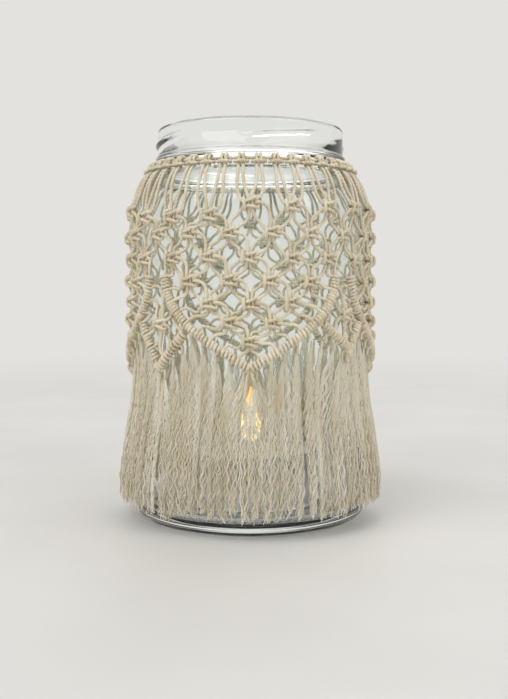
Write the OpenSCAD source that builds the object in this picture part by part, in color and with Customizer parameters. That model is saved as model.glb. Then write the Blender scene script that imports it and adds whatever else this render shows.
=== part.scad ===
// Lantern: a clear preserving jar dressed in a knotted cotton cover, with a large
// tealight standing inside. Millimetres, +Z up, origin at the bottom centre of the jar.

/* [Jar] */
// Height of the jar from its foot to its rim
jar_height = 166; // [150:1:200]
// Outer diameter of the straight body
jar_diameter = 100; // [94:1:110]
// Thickness of the body wall
glass_wall = 2.7; // [2:0.1:4]
// Thickness of the bottom over the foot
base_thickness = 5; // [4:0.5:7]
// Depth of the recess under the bottom
base_recess = 2; // [1:0.5:3]
// Width of the flat ring that the jar stands on
foot_width = 8; // [5:0.5:12]
// Radius of the rounded heel
heel_radius = 6; // [4:0.5:8]
// Height of the rounded shoulder
shoulder_height = 22; // [18:1:28]
// Outer diameter of the neck
neck_diameter = 79.5; // [76:0.5:84]
// Thickness of the neck wall
neck_wall = 3.2; // [2.6:0.1:4]
// Height of the neck, from the shoulder to the rim
neck_height = 19; // [17:1:24]
// Height of the bead's middle above the shoulder
bead_rise = 5.8; // [5.4:0.2:7]
// Thickness of the bead round the neck
bead_thickness = 2.4; // [1.6:0.2:3]
// How far the bead stands out from the neck
bead_projection = 1.1; // [0.8:0.1:1.6]

/* [Cord] */
// Diameter of the twisted cotton cord
cord_d = 1.5; // [1.3:0.1:1.6]
// Play between a cord and what it lies on
cord_play = 0.3; // [0.2:0.05:0.4]

/* [Net] */
// Number of heart panels round the jar
hearts = 4; // [3:1:4]
// Height of the first row of knots, below the start of the neck
first_row_drop = 17; // [14:0.5:20]
// Distance from the first row of knots to the second
row_pitch_top = 10.3; // [9.6:0.1:11.5]
// Distance from the last row but one to the last
row_pitch_bottom = 7.2; // [7:0.1:8.5]
// Drop from the last knot to the tip of the heart border
border_tip_drop = 10.5; // [9.5:0.5:13]
// Width of a square knot
knot_width = 7.8; // [7.4:0.1:8.4]
// Drop from the last knot row to the tip of a small border
small_tip_drop = 7; // [6:0.5:9]

/* [Fringe] */
// Clear height under the hem of the fringe
hem_height = 10; // [6:1:20]
// Outer diameter of the fringe at its hem
hem_diameter = 114; // [110:1:120]
// Diameter of a combed-out lock at the hem
lock_d = 4.1; // [3:0.1:4.2]

/* [Candle] */
// Outer diameter of the aluminium cup
cup_diameter = 58; // [50:1:64]
// Height of the cup
cup_height = 24; // [18:1:30]
// Thickness of the cup's wall
cup_wall = 0.4; // [0.3:0.1:0.8]
// Depth of the wax below the cup's rim
wax_recess = 1.5; // [1:0.5:3]
// Diameter of the wick
wick_d = 2; // [1.6:0.1:2.6]
// Height of the wick above the wax
wick_height = 9; // [6:0.5:12]
// Diameter of the wick holder's plate
holder_diameter = 14; // [12:0.5:18]
// Height of the tube that grips the wick
holder_height = 5; // [4:0.5:8]

/* [Hidden] */
$fn = 48;

// Jar
body_r = jar_diameter / 2;
neck_r = neck_diameter / 2;
mouth_r = neck_r - neck_wall;
shoulder_top = jar_height - neck_height;
shoulder_z = shoulder_top - shoulder_height;
foot_r = body_r - heel_radius;
bead_z = shoulder_top + bead_rise;
rim_round = neck_wall / 2;
arc_steps = 8;

// Cord layers on the glass
lie = cord_play + cord_d / 2;          // centre of a cord that lies on the glass
knot_lie = cord_play + 1.5 * cord_d;   // centre of the cores of a knot
end_gap = 0.6;                         // a cord stops this far short of a knot

// Net: sennits of four strands, five to a heart
sennits = 5;
pitch = 360 / (hearts * sennits);
full_rows = 3;
rows = full_rows + sennits - 1;
row_drops = [for (i = [0 : rows - 2])
    row_pitch_top + (row_pitch_bottom - row_pitch_top) * i / (rows - 2)];
function sum_to(v, n) = n <= 0 ? 0 : v[n - 1] + sum_to(v, n - 1);
function row_z(row) = shoulder_top - first_row_drop - sum_to(row_drops, row - 1);
heart_angle = 360 / hearts;
core_half = 3.3;                       // half length of a knot's cores
bar_rise = 1.25;                       // height of a knot's bar from its middle
side_x = knot_width / 2 - cord_d / 2;  // where a working cord enters a knot
core_x = 0.52 * cord_d;                // half the distance between two cords side by side

// Borders
hitches = 9;
hitch_pairs = 2;
small_hitches = 3;
ridge_r = 1.35 * cord_d;               // outer radius of a border
ridge_lie = cord_play + ridge_r;
border_side = 2.2 * pitch;
tip_z = row_z(rows) - border_tip_drop;
start_z = row_z(full_rows) - 6.4;      // upper end of a border, under the last full row
belly_low = 11;                        // height of the border's lower bend over its tip
belly_high = 19;                       // and of its upper bend
small_tip_z = row_z(rows) - small_tip_drop;
small_start = 0.62;                    // share of the border where a small one begins
small_offset = [1.5, -2.6];            // its start beside the border: angle, height

// Radius of the glass at a height
function glass_r(z) = z <= shoulder_z ? body_r :
    z >= shoulder_top ? neck_r :
    neck_r + (body_r - neck_r) * sqrt(1 - pow((z - shoulder_z) / shoulder_height, 2));
// Lean of the glass at a height, in degrees
function lean(z) = atan(glass_r(z - 0.5) - glass_r(z + 0.5));
// A point over the glass: angle from the front, height, lift off the glass
function over(theta, z, lift) = let (a = lean(z), r = glass_r(z) + lift * cos(a))
    [r * sin(theta), -r * cos(theta), z + lift * sin(a)];
function unit(v) = v / norm(v);
function mm_to_deg(mm, z) = mm / (glass_r(z) + knot_lie) * 180 / PI;
function bezier(a, b, c, d, t) =
    pow(1 - t, 3) * a + 3 * t * pow(1 - t, 2) * b + 3 * t * t * (1 - t) * c + pow(t, 3) * d;
// Centre line of a heart border: t = 0 at the tip, 1 at the upper end; [angle, height]
function border_at(t) = bezier([0, tip_z], [pitch, tip_z + belly_low],
    [border_side, tip_z + belly_high], [border_side, start_z], t);
function small_at(s) = let (a = border_at(small_start) + small_offset,
    b = [heart_angle / 2, small_tip_z]) a + (b - a) * s;

// Round cord along the arc through three points
module cord_arc(p0, pm, p1, d = cord_d) {
    a = p0 - p1;
    b = pm - p1;
    n = cross(a, b);
    centre = p1 + cross(b * (a * a) - a * (b * b), n) / (2 * (n * n));
    rad = norm(p0 - centre);
    x = (p0 - centre) / rad;
    w = unit(cross(p0 - centre, pm - centre));
    y = cross(w, x);
    sweep = atan2((p1 - centre) * y, (p1 - centre) * x);
    m = [[x[0], y[0], w[0], centre[0]], [x[1], y[1], w[1], centre[1]],
        [x[2], y[2], w[2], centre[2]], [0, 0, 0, 1]];
    multmatrix(m) rotate_extrude(angle = sweep) translate([rad, 0]) circle(d = d);
}
// Straight round bar or cone between two points
module bar(p0, p1, d0, d1) {
    v = p1 - p0;
    translate(p0) rotate([0, acos(v[2] / norm(v)), atan2(v[1], v[0])])
        cylinder(d1 = d0, d2 = d1, h = norm(v));
}
// Local frame over the glass: x to the right, z up the jar, -y outwards
module at_jar(theta, z, lift) {
    rotate([0, 0, theta]) translate([0, -glass_r(z), z]) rotate([-lean(z), 0, 0])
        translate([0, -lift, 0]) children();
}

// Jar ---------------------------------------------------------------------------
function arc(centre, rx, ry, from, to) = [for (i = [0 : arc_steps])
    let (a = from + (to - from) * i / arc_steps) centre + [rx * cos(a), ry * sin(a)]];

module glass_jar() {
    recess_r = foot_r - foot_width;
    outer = concat([[0, base_recess], [recess_r, base_recess], [recess_r + base_recess, 0]],
        arc([body_r - heel_radius, heel_radius], heel_radius, heel_radius, -90, 0),
        arc([neck_r, shoulder_z], body_r - neck_r, shoulder_height, 0, 90),
        [[neck_r, bead_z - bead_thickness / 2]],
        arc([neck_r, bead_z], bead_projection, bead_thickness / 2, -90, 90),
        [[neck_r, jar_height - rim_round]],
        arc([neck_r - rim_round, jar_height - rim_round], rim_round, rim_round, 0, 180));
    inner_r = body_r - glass_wall;
    inner = concat(
        arc([mouth_r, shoulder_z], inner_r - mouth_r, shoulder_height - glass_wall / 2, 90, 0),
        arc([inner_r - heel_radius, base_thickness + heel_radius], heel_radius, heel_radius, 0, -90),
        [[0, base_thickness]]);
    color([0.86, 0.93, 0.92, 0.35]) rotate_extrude($fn = 96) polygon(concat(outer, inner));
}

// Cotton cover --------------------------------------------------------------------
tie_r = neck_r + cord_play + 1.5 * cord_d;
tie_z = shoulder_top + 1.37 * cord_d;
larks_heads = hearts * sennits * 2;
wrap_r = 1.02 * cord_d;                // centre line of a turn round another cord
wrap_d = 0.95 * cord_d;                // a cord pulled tight
module cotton() { color([0.87, 0.80, 0.67]) children(); }

// Cord tied round the neck, under the bead
module holding_cord() cotton()
    rotate_extrude($fn = 96) translate([tie_r, tie_z]) circle(d = cord_d);

// Folded cord hung on the holding cord: two turns over it and the loop in front of them
module larks_head() {
    loop = cord_d * [1.73, -1.07, -0.9];
    for (s = [-1, 1]) translate([s * core_x, 0, 0]) rotate([0, 90, 0])
        rotate_extrude() translate([wrap_r, 0]) circle(d = wrap_d);
    cord_arc([-loop[0], loop[1], loop[2]], [0, -2.08 * cord_d, loop[2]], loop, wrap_d);
}
module larks_head_knots() cotton()
    for (i = [0 : larks_heads - 1])
        rotate([0, 0, (i + 0.5) * 360 / larks_heads]) translate([0, -tie_r, tie_z]) larks_head();

// Square knot round two cores. The left cord crosses in front, turns at the right and
// crosses back below. The right cord passes behind, comes over both bars at the left and
// goes back behind. Each is a chain of arcs.
module square_knot() {
    bow = 1.1 * cord_d;                // how far the bars stand off the middle of the cores
    left = -side_x + 0.5 * cord_d;
    low = bar_rise - 0.28 * cord_d;    // height of the bars at the left
    high = bar_rise + 0.28 * cord_d;   // and at the right
    behind = 1.15;                     // how far a bar's ends lie behind the cores
    bar_end = side_x - 1.2;            // where a bar in front meets the turn
    turn_x = side_x + 0.05;            // ends of the turn at the right
    turn_rise = high - 0.25;
    loop_depth = 0.7;                  // ends of the loop at the left, in front of the cores
    loop_rise = high + 0.2;
    for (s = [-1, 1]) {
        translate([s * core_x, 0, -core_half]) cylinder(d = wrap_d, h = 2 * core_half);
        cord_arc([-side_x, -0.1, s * low], [0, -bow, s * bar_rise],
            [bar_end, -1.05, s * high], wrap_d);
        cord_arc([left + 0.3, behind, s * high], [0, bow + 0.03, s * high],
            [bar_end + 0.1, behind, s * high], wrap_d);
    }
    cord_arc([turn_x, 0, turn_rise], [turn_x + 0.35, 0.1, 0], [turn_x, 0, -turn_rise], wrap_d);
    cord_arc([left, -loop_depth, loop_rise], [left, -2.1 * cord_d, 0],
        [left, -loop_depth, -loop_rise], wrap_d);
}

// Places of the knots of a row, counted in sennits from the front
function row_places(row) = row <= full_rows ?
    [for (i = [0 : hearts * sennits - 1]) i + (row % 2 == 0 ? 0.5 : 0)] :
    let (count = sennits + full_rows - row)
    [for (h = [0 : hearts - 1], i = [0 : count - 1]) h * sennits + i - (count - 1) / 2];
module knot_row(row) cotton()
    for (p = row_places(row)) at_jar(p * pitch, row_z(row), knot_lie) square_knot();

// Ends of a knot's four cords, from its middle: [across, up]; side is -1 left, 1 right
function core_end(side, up) = [side * core_x, up * (core_half + end_gap)];
function side_end(side, up) = [side * (side_x - 0.2), up * (core_half + 0.35)];
function knot_point(theta, z, offset, lift = knot_lie) =
    over(theta + mm_to_deg(offset[0], z), z + offset[1], lift);

// Four cords that come down from the lark's heads to each knot of the first row
module shoulder_cords() cotton() {
    z1 = row_z(1);
    for (p = row_places(1), side = [-1, 1], inner = [0, 1]) {
        theta = p * pitch;
        from = theta + side * (90 / larks_heads + (inner ? -1 : 1) * 1.04);
        to = inner ? core_end(side, 1) : side_end(side, 1);
        p0 = [(tie_r + cord_d) * sin(from), -(tie_r + cord_d) * cos(from), tie_z - 1.78 * cord_d];
        p1 = knot_point(theta, z1, to);
        zm = (p0[2] + p1[2]) / 2 + 0.5;
        toward = theta + mm_to_deg(to[0], z1);
        pm = over(from * 0.55 + toward * 0.45 + (inner ? 0 : side * 0.5), zm, lie + 0.75);
        cord_arc(p0, pm, p1);
    }
}

// Two cords between knots of neighbouring rows. The outer one leaves the upper knot at
// its side and becomes a core of the lower knot, the inner one does the reverse.
module knot_link(theta_a, z_a, theta_b, z_b) {
    side = theta_b > theta_a ? 1 : -1;
    bow = 0.8;
    theta_m = (theta_a + theta_b) / 2;
    z_m = (z_a + z_b) / 2;
    for (outer = [0, 1]) {
        a = outer ? side_end(side, -1) : core_end(side, -1);
        b = outer ? core_end(-side, 1) : side_end(-side, 1);
        push = side * (outer ? bow : -bow);
        m = [(a[0] + b[0]) / 2 + push, (a[1] + b[1]) / 2 + side * push];
        cord_arc(knot_point(theta_a, z_a, a),
            over(theta_m + mm_to_deg(m[0], z_m), z_m + m[1], lie + 0.7),
            knot_point(theta_b, z_b, b));
    }
}
module net_cords(row) cotton()
    for (p = row_places(row + 1), side = [-1, 1])
        knot_link((p + side * 0.5) * pitch, row_z(row), p * pitch, row_z(row + 1));

// Heart borders: nine knots of double half hitches on a leader, down each side to the tip
function border_point(side, t, lift = ridge_lie) = let (b = border_at(t)) over(side * b[0], b[1], lift);
function small_point(side, s, lift = ridge_lie) = let (b = small_at(s)) over(side * b[0], b[1], lift);
// A point beside a border: off > 0 lies towards the heart, off < 0 towards the fringe
function beside(b, b2, side, off, lift) = let (v = [(b2[0] - b[0]) * PI / 180 * body_r, b2[1] - b[1]],
    n = [-v[1], v[0]] / norm(v) * off)
    over(side * (b[0] + n[0] * 180 / PI / body_r), b[1] + n[1], lift);
function beside_border(side, t, off, lift = ridge_lie) =
    beside(border_at(t), border_at(t + 0.01), side, off, lift);
function beside_small(side, s, off, lift = ridge_lie) =
    beside(small_at(s), small_at(s + 0.01), side, off, lift);

// One cord hitched to the leader: the leader with two pairs of turns round it
module hitch(p0, p1) {
    v = p1 - p0;
    run = norm(v) - 0.5;
    step = run / hitch_pairs;
    crests = [for (i = [0 : hitch_pairs - 1], c = [[-0.42, -0.5], [-0.2, 0], [0.2, 0], [0.42, -0.5]])
        [ridge_r + c[1], (i + 0.5 + c[0]) * step - run / 2]];
    translate((p0 + p1) / 2) rotate([0, acos(v[2] / norm(v)), atan2(v[1], v[0])])
        rotate_extrude() polygon(concat([[0, crests[0][1]]], crests, [[0, -crests[0][1]]]));
}
module heart_border(h) cotton() rotate([0, 0, h * heart_angle])
    for (side = [-1, 1], i = [0 : hitches - 1]) {
        lower = i == 0 ? (side < 0 ? 0 : 0.055) : i / hitches;
        hitch(border_point(side, lower), border_point(side, (i + 1) / hitches));
    }
module small_borders() cotton()
    for (h = [0 : hearts - 1], side = [-1, 1], i = [0 : small_hitches - 1])
        rotate([0, 0, h * heart_angle]) {
            upper = i == small_hitches - 1 ? 0.9 : (i + 1) / small_hitches;
            hitch(small_point(side, i / small_hitches), small_point(side, upper));
        }

// Knot in the gap between two hearts, above each small border
link_z = (row_z(rows - 2) + row_z(rows - 1)) / 2 - 1.5;
module link_knots() cotton()
    for (h = [0 : hearts - 1]) at_jar((h + 0.5) * heart_angle, link_z, knot_lie) square_knot();
module link_knot_cords() cotton()
    for (h = [0 : hearts - 1], side = [-1, 1]) rotate([0, 0, h * heart_angle]) {
        gap = ridge_r + end_gap;
        theta = side * heart_angle / 2;
        // Down from the big border: two to the knot and one straight to the small border
        for (i = [hitches - 2, hitches - 1]) {
            to = i == hitches - 1 ? core_end(-side, 1) : side_end(-side, 1);
            a = beside_border(side, (i + 0.5) / hitches, -gap - 0.4);
            b = knot_point(theta, link_z, to);
            bar(a, b, cord_d, cord_d);
        }
        a3 = beside_border(side, (hitches - 2.5) / hitches, -gap - 0.4);
        b3 = beside_small(side, 0.5 / small_hitches, gap + 0.2);
        bar(a3, b3, cord_d, cord_d);
        for (i = [1, 2]) {
            from = i == 1 ? side_end(-side, -1) : core_end(-side, -1);
            a = knot_point(theta, link_z, from);
            b = beside_small(side, (i + 0.4) / small_hitches, gap + 0.2);
            bar(a, b, cord_d, cord_d);
        }
    }

// Cords from the last knot on each side of a row to the border, and the leader's start
module border_feed_cords() cotton()
    for (h = [0 : hearts - 1], side = [-1, 1]) rotate([0, 0, h * heart_angle]) {
        gap = ridge_r + end_gap + 0.4;
        for (row = [full_rows : rows]) {
            place = (sennits + full_rows - row - 1) / 2;
            theta = side * place * pitch;
            first = (rows - row) * 2;
            a = knot_point(theta, row_z(row), core_end(side, -1));
            b = beside_border(side, (first + 0.5) / hitches, gap);
            bar(a, b, cord_d, cord_d);
            c = knot_point(theta, row_z(row), side_end(side, -1));
            d = row == full_rows ? border_point(side, 1 + 0.12 / hitches) :
                beside_border(side, (first + 1.5) / hitches, gap);
            bar(c, d, cord_d, cord_d);
        }
    }

// Fringe: the end of every cord, combed out into a lock
locks = hearts * sennits * 4;
direct_hitches = 5;
module lock(top, theta) {
    hem_r = (hem_diameter - lock_d) / 2;
    bar(top, [hem_r * sin(theta), -hem_r * cos(theta), hem_height], cord_d, lock_d);
}
module fringe(h) cotton() rotate([0, 0, h * heart_angle])
    for (side = [-1, 1]) {
        under = ridge_r + 0.9;
        step = 360 / locks;
        lock(over(side * 1.3, tip_z - ridge_r - 1.2, lie), side * step * 0.5);
        for (i = [0 : direct_hitches - 1])
            lock(beside_border(side, (i + 0.65) / hitches, -under, lie), side * step * (i + 1.5));
        for (i = [0 : small_hitches - 1])
            lock(beside_small(side, (i + 0.3) / small_hitches, -under, lie),
                side * step * (i + direct_hitches + 1.5));
        lock(over(side * (heart_angle / 2 - 1), small_tip_z - ridge_r - 1.2, lie),
            side * step * (direct_hitches + small_hitches + 1.5));
    }

// Candle ----------------------------------------------------------------------------
fit = 0.05;
cup_r = cup_diameter / 2;
cup_z = base_thickness + 0.2;
wax_top = cup_z + cup_height - wax_recess;
holder_sheet = 0.3;
holder_z = cup_z + cup_wall + fit;
tube_r = wick_d / 2 + fit + holder_sheet;
rim_r = cup_wall * 1.2;                // roll of the cup's rim
cup_corner = 1;
module candle_cup() color([0.80, 0.81, 0.83]) rotate_extrude($fn = 96)
    polygon([[0, 0], [cup_r - cup_corner, 0], [cup_r, cup_corner],
        [cup_r, cup_height - 2 * rim_r], [cup_r + rim_r, cup_height - 2 * rim_r],
        [cup_r + rim_r, cup_height], [cup_r - cup_wall, cup_height],
        [cup_r - cup_wall, cup_corner + cup_wall / 2],
        [cup_r - cup_corner - cup_wall / 2, cup_wall], [0, cup_wall]]);
module candle_wax() color([0.96, 0.93, 0.84]) difference() {
    union() {
        translate([0, 0, holder_z + cup_corner])
            cylinder(r = cup_r - cup_wall - fit, h = wax_top - holder_z - cup_corner, $fn = 96);
        translate([0, 0, holder_z])
            cylinder(r = cup_r - cup_wall - cup_corner - fit, h = wax_top - holder_z, $fn = 96);
    }
    translate([0, 0, holder_z - 1]) cylinder(d = holder_diameter + 2 * fit, h = 1 + holder_sheet + fit);
    translate([0, 0, holder_z]) cylinder(r = tube_r + fit, h = holder_height + fit);
    translate([0, 0, holder_z]) cylinder(d = wick_d + 2 * fit, h = cup_height);
}
module wick_holder() color([0.72, 0.73, 0.75]) difference() {
    union() {
        translate([0, 0, holder_z]) cylinder(d = holder_diameter, h = holder_sheet);
        translate([0, 0, holder_z]) cylinder(r = tube_r, h = holder_height);
    }
    translate([0, 0, holder_z + holder_sheet]) cylinder(d = wick_d + 2 * fit, h = holder_height);
}
module candle_wick() color([0.15, 0.13, 0.12])
    translate([0, 0, holder_z + holder_sheet + fit])
        cylinder(d = wick_d, h = wax_top + wick_height - holder_z - holder_sheet - fit);

glass_jar();
holding_cord();
larks_head_knots();
shoulder_cords();
knot_row(1);  // square_knots_row_1
knot_row(2);  // square_knots_row_2
knot_row(3);  // square_knots_row_3
knot_row(4);  // square_knots_row_4
knot_row(5);  // square_knots_row_5
knot_row(6);  // square_knots_row_6
knot_row(7);  // square_knots_row_7
link_knots();
net_cords(1);  // net_cords_row_1
net_cords(2);  // net_cords_row_2
net_cords(3);  // net_cords_row_3
net_cords(4);  // net_cords_row_4
net_cords(5);  // net_cords_row_5
net_cords(6);  // net_cords_row_6
border_feed_cords();
link_knot_cords();
heart_border(0);  // heart_border_front
heart_border(1);  // heart_border_right
heart_border(2);  // heart_border_back
heart_border(3);  // heart_border_left
small_borders();
fringe(0);  // fringe_front
fringe(1);  // fringe_right
fringe(2);  // fringe_back
fringe(3);  // fringe_left
translate([0, 0, cup_z]) candle_cup();
candle_wax();
candle_wick();
wick_holder();
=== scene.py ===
import math
import random

import bmesh
import bpy
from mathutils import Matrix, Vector, noise


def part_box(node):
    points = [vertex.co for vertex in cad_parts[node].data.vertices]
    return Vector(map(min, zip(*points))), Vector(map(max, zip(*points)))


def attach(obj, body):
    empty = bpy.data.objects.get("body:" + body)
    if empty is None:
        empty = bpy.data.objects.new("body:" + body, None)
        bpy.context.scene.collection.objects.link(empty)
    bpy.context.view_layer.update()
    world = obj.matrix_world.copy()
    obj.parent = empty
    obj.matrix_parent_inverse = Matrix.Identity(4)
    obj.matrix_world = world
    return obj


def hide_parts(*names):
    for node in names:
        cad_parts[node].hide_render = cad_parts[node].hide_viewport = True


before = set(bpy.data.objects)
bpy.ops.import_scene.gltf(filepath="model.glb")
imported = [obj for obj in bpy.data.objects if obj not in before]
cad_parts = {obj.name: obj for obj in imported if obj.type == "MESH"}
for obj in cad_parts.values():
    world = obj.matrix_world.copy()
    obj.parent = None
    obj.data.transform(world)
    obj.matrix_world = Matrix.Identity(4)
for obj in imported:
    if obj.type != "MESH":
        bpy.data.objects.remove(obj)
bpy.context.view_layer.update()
MM = 0.001

# ------------------------------------------------------------------ Camera, table and light
# The lantern is seen from a little above its middle, at arm's length, and looked down on
# slightly. It stands on a pale table top, and three large soft lamps light it evenly.
eye = Vector((1.53, -419.8, 97.6)) * MM
look_down = 3.55
focal_length = 49.44
camera = bpy.data.objects.new("camera", bpy.data.cameras.new("camera"))
camera.data.lens = focal_length
camera.location = eye
camera.rotation_euler = (math.radians(90 - look_down), 0, 0)
bpy.context.collection.objects.link(camera)
bpy.context.scene.camera = camera
bpy.context.scene.view_settings.view_transform = "Standard"


def colour(hex_text):
    """An sRGB hex colour as the linear colour that a shader takes."""
    parts = [int(hex_text[i:i + 2], 16) / 255 for i in (1, 3, 5)]
    return [c / 12.92 if c <= 0.04045 else ((c + 0.055) / 1.055) ** 2.4 for c in parts] + [1]


def add_node(tree, kind, settings=None, links=None):
    """Adds a shader node, sets its sockets and properties and links its inputs."""
    node = tree.nodes.new(kind)
    for name, value in (settings or {}).items():
        if hasattr(node, name):
            setattr(node, name, value)
        else:
            node.inputs[name].default_value = value
    for name, (other, socket) in (links or {}).items():
        tree.links.new(other.outputs[socket], node.inputs[name])
    return node


def new_material(name):
    """A new material whose node tree is empty, and that tree."""
    material = bpy.data.materials.new(name)
    material.use_nodes = True
    material.node_tree.nodes.clear()
    return material, material.node_tree


def stops(ramp, low, high):
    """Sets a colour ramp's two ends, each a position and a colour."""
    for element, (place, shade) in zip(ramp.color_ramp.elements, (low, high)):
        element.position = place
        element.color = shade


def seen_rays(tree):
    """Node that is 1 for what is seen straight, in a reflection or through glass."""
    rays = add_node(tree, "ShaderNodeLightPath")
    seen = add_node(tree, "ShaderNodeMath", {"operation": "MAXIMUM"},
                    {0: (rays, "Is Camera Ray"), 1: (rays, "Is Glossy Ray")})
    return add_node(tree, "ShaderNodeMath", {"operation": "MAXIMUM"},
                    {0: (seen, "Value"), 1: (rays, "Is Transmission Ray")})


backdrop_colour = colour("#E4E2DF")
fade_start = 0.3
fade_stop = 1.1

# Melamine table top: matt and pale, with a faint mottle that keeps it from looking empty
table_material, tree = new_material("pale_melamine")
coords = add_node(tree, "ShaderNodeTexCoord")
mottle = add_node(tree, "ShaderNodeTexNoise", {"Scale": 9.0, "Detail": 3.0},
                  {"Vector": (coords, "Object")})
shades = add_node(tree, "ShaderNodeValToRGB", None, {"Fac": (mottle, "Fac")})
stops(shades, (0.35, colour("#DCDAD6")), (0.65, colour("#E2E0DC")))
surface = add_node(tree, "ShaderNodeBsdfPrincipled", {"Roughness": 0.5},
                   {"Base Color": (shades, "Color")})
# Away from the lantern the top runs over into the backdrop, so that no edge shows behind it
away = add_node(tree, "ShaderNodeVectorMath", {"operation": "LENGTH"}, {0: (coords, "Object")})
faded = add_node(tree, "ShaderNodeMapRange",
                 {"interpolation_type": "SMOOTHSTEP", "From Min": fade_start, "From Max": fade_stop},
                 {"Value": (away, "Value")})
seen = seen_rays(tree)
shown = add_node(tree, "ShaderNodeMath", {"operation": "MULTIPLY"},
                 {0: (faded, "Result"), 1: (seen, "Value")})
far_away = add_node(tree, "ShaderNodeEmission", {"Color": backdrop_colour, "Strength": 1.0})
either = add_node(tree, "ShaderNodeMixShader", None,
                  {"Fac": (shown, "Value"), 1: (surface, "BSDF"), 2: (far_away, "Emission")})
add_node(tree, "ShaderNodeOutputMaterial", None, {"Surface": (either, "Shader")})

table_size = 6.0
bm = bmesh.new()
bmesh.ops.create_grid(bm, x_segments=1, y_segments=1, size=table_size / 2)
mesh = bpy.data.meshes.new("table_top")
bm.to_mesh(mesh)
bm.free()
table_top = bpy.data.objects.new("table_top", mesh)
table_top.data.materials.append(table_material)
bpy.context.collection.objects.link(table_top)

lamp_target = Vector((0, 0, 0.08))
for lamp_name, place, size, watts in (("key_lamp", (-1.0, -1.1, 1.8), 1.9, 26.0),
                                      ("fill_lamp", (1.3, -1.0, 1.4), 1.7, 12.0),
                                      ("back_lamp", (0.4, 1.0, 1.9), 1.7, 9.0)):
    lamp = bpy.data.objects.new(lamp_name, bpy.data.lights.new(lamp_name, "AREA"))
    lamp.data.energy = watts
    lamp.data.size = size
    lamp.location = place
    lamp.rotation_euler = (lamp_target - Vector(place)).to_track_quat("-Z", "Y").to_euler()
    bpy.context.collection.objects.link(lamp)

# Studio: an even white room lights the lantern, and a pale backdrop is what is seen behind it
world = bpy.data.worlds.new("studio")
bpy.context.scene.world = world
world.use_nodes = True
tree = world.node_tree
tree.nodes.clear()
seen = seen_rays(tree)
room = add_node(tree, "ShaderNodeBackground", {"Color": colour("#FFFFFF"), "Strength": 0.42})
backdrop = add_node(tree, "ShaderNodeBackground", {"Color": backdrop_colour, "Strength": 1.0})
either = add_node(tree, "ShaderNodeMixShader", None,
                  {"Fac": (seen, "Value"), 1: (room, "Background"), 2: (backdrop, "Background")})
add_node(tree, "ShaderNodeOutputWorld", None, {"Surface": (either, "Shader")})

# ------------------------------------------------------------------ Glass jar
# A straight-sided preserving jar of pressed soda-lime glass. Its neck has a bead and four
# short sloped lugs for a twist-off cap, and its foot is stippled so that it doesn't slip.
jar_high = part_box("glass_jar")[1]
jar_height = jar_high.z / MM
body_r = jar_high.x / MM
glass_wall = 2.7
base_thickness = 5.0
base_recess = 2.0
foot_width = 8.0
foot_edge = 0.6
foot_edge_z = 1.2
foot_run = 2.0
heel_run = 3.0
heel_radius = 6.0
shoulder_height = 22.0
neck_r = 39.75
neck_wall = 3.2
neck_height = 19.0
bead_rise = 5.8
bead_thickness = 2.4
bead_projection = 1.1
mouth_r = neck_r - neck_wall
shoulder_top = jar_height - neck_height
shoulder_z = shoulder_top - shoulder_height
foot_r = body_r - heel_radius
bead_z = shoulder_top + bead_rise
rim_round = neck_wall / 2
wall_rings = 5
wall_ring_step = 19.0
jar_steps = 288
lugs = 4
first_lug = 20.0
lug_half_angle = 27.0
lug_z = shoulder_top + 12.4
lug_slope = 1.5
lug_half_thickness = 1.3
lug_projection = 1.0
lug_taper = 2.5
stipples = 72
stipple_height = 0.35
bore_wave = 0.12


def arc(centre, rx, ry, start, stop, steps):
    """Points of an elliptical arc in the plane of a profile: radius and height."""
    angles = [math.radians(start + (stop - start) * i / steps) for i in range(steps + 1)]
    return [(centre[0] + rx * math.cos(a), centre[1] + ry * math.sin(a)) for a in angles]


def spin_profile(name, profile, steps):
    """A solid of revolution about the vertical axis, from points of radius and height in mm."""
    bm = bmesh.new()
    points = [bm.verts.new((r * MM, 0, z * MM)) for r, z in profile]
    edges = [bm.edges.new(pair) for pair in zip(points, points[1:])]
    bmesh.ops.spin(bm, geom=points + edges, cent=(0, 0, 0), axis=(0, 0, 1),
                   angle=2 * math.pi, steps=steps, use_merge=True)
    bmesh.ops.remove_doubles(bm, verts=bm.verts, dist=1e-6)
    bmesh.ops.recalc_face_normals(bm, faces=bm.faces)
    for face in bm.faces:
        face.smooth = True
    mesh = bpy.data.meshes.new(name)
    bm.to_mesh(mesh)
    bm.free()
    piece = bpy.data.objects.new(name, mesh)
    bpy.context.collection.objects.link(piece)
    return piece


def lug_lift(theta, z):
    """How far a lug stands out of the neck at an angle and a height."""
    lift = 0.0
    for i in range(lugs):
        along = ((theta - first_lug - i * 360 / lugs + 180) % 360 - 180) / lug_half_angle
        across = (z - lug_z - lug_slope * along) / lug_half_thickness
        if abs(along) < 1 and abs(across) < 1:
            ends = min(1, lug_taper * (1 - abs(along)))
            lift += lug_projection * math.cos(math.pi / 2 * across) * ends
    return lift


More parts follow.
